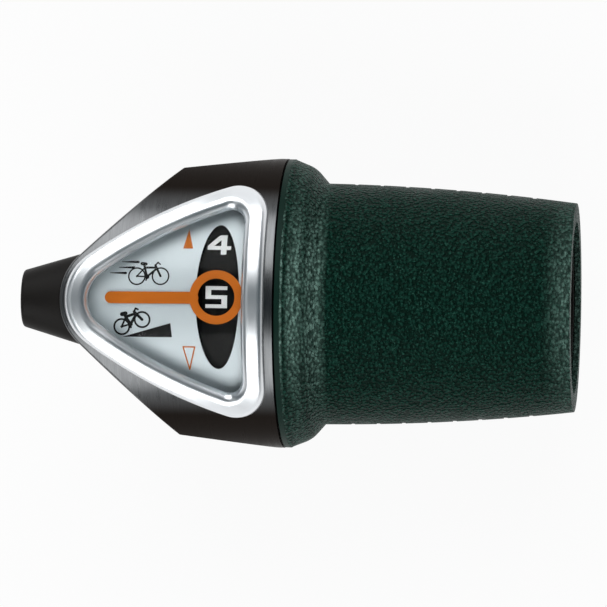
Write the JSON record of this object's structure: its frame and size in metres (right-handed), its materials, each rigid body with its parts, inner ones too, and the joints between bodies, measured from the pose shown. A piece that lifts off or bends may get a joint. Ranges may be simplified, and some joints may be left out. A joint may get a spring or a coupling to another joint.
{
  "type": "twist grip shifter",
  "caption": "Bicycle twist grip shifter: ribbed rubber grip that turns on a handlebar clamp housing with a curved gear display and a cable outlet.",
  "frame": {"origin": "on the handlebar axis, where the grip collar meets the housing", "axes": "+X along the handlebar towards its outboard end, +Z out of the gear display"},
  "size_m": [0.0804, 0.0432, 0.0445],
  "materials": {
    "black_plastic": "satin",
    "grey_plastic": "brushed",
    "bright_metal": "satin",
    "clear_window": "clear",
    "pale_plate": "satin",
    "white_plastic": "natural",
    "steel": "zinc plated",
    "rubber": "grained",
    "drum_black": "satin"
  },
  "bodies": {
    "housing": {"housing": "black_plastic", "top_cover": "grey_plastic", "bezel": "bright_metal", "window_lens": "clear_window", "dial_plate": "pale_plate", "cable_outlet": "black_plastic", "cable_guide": "white_plastic", "clamp_screw": "steel", "clamp_washer": "steel", "clamp_nut": "steel", "cover_screws": "steel", "detent_spring": "steel", "inboard_washer": "white_plastic", "outboard_washer": "white_plastic", "retaining_ring": "steel"},
    "grip": {"rubber_grip": "rubber", "twist_sleeve": "black_plastic", "cable_spool": "white_plastic", "number_drum": "drum_black", "detent_ring": "white_plastic"}
  },
  "joints": [
    {"name": "grip_twist", "type": "hinge", "parent": "housing", "child": "grip", "pos_m": [0, 0, 0], "axis": [1, 0, 0], "range_deg": [0, 100], "deforming": ["detent_spring"]}
  ]
}
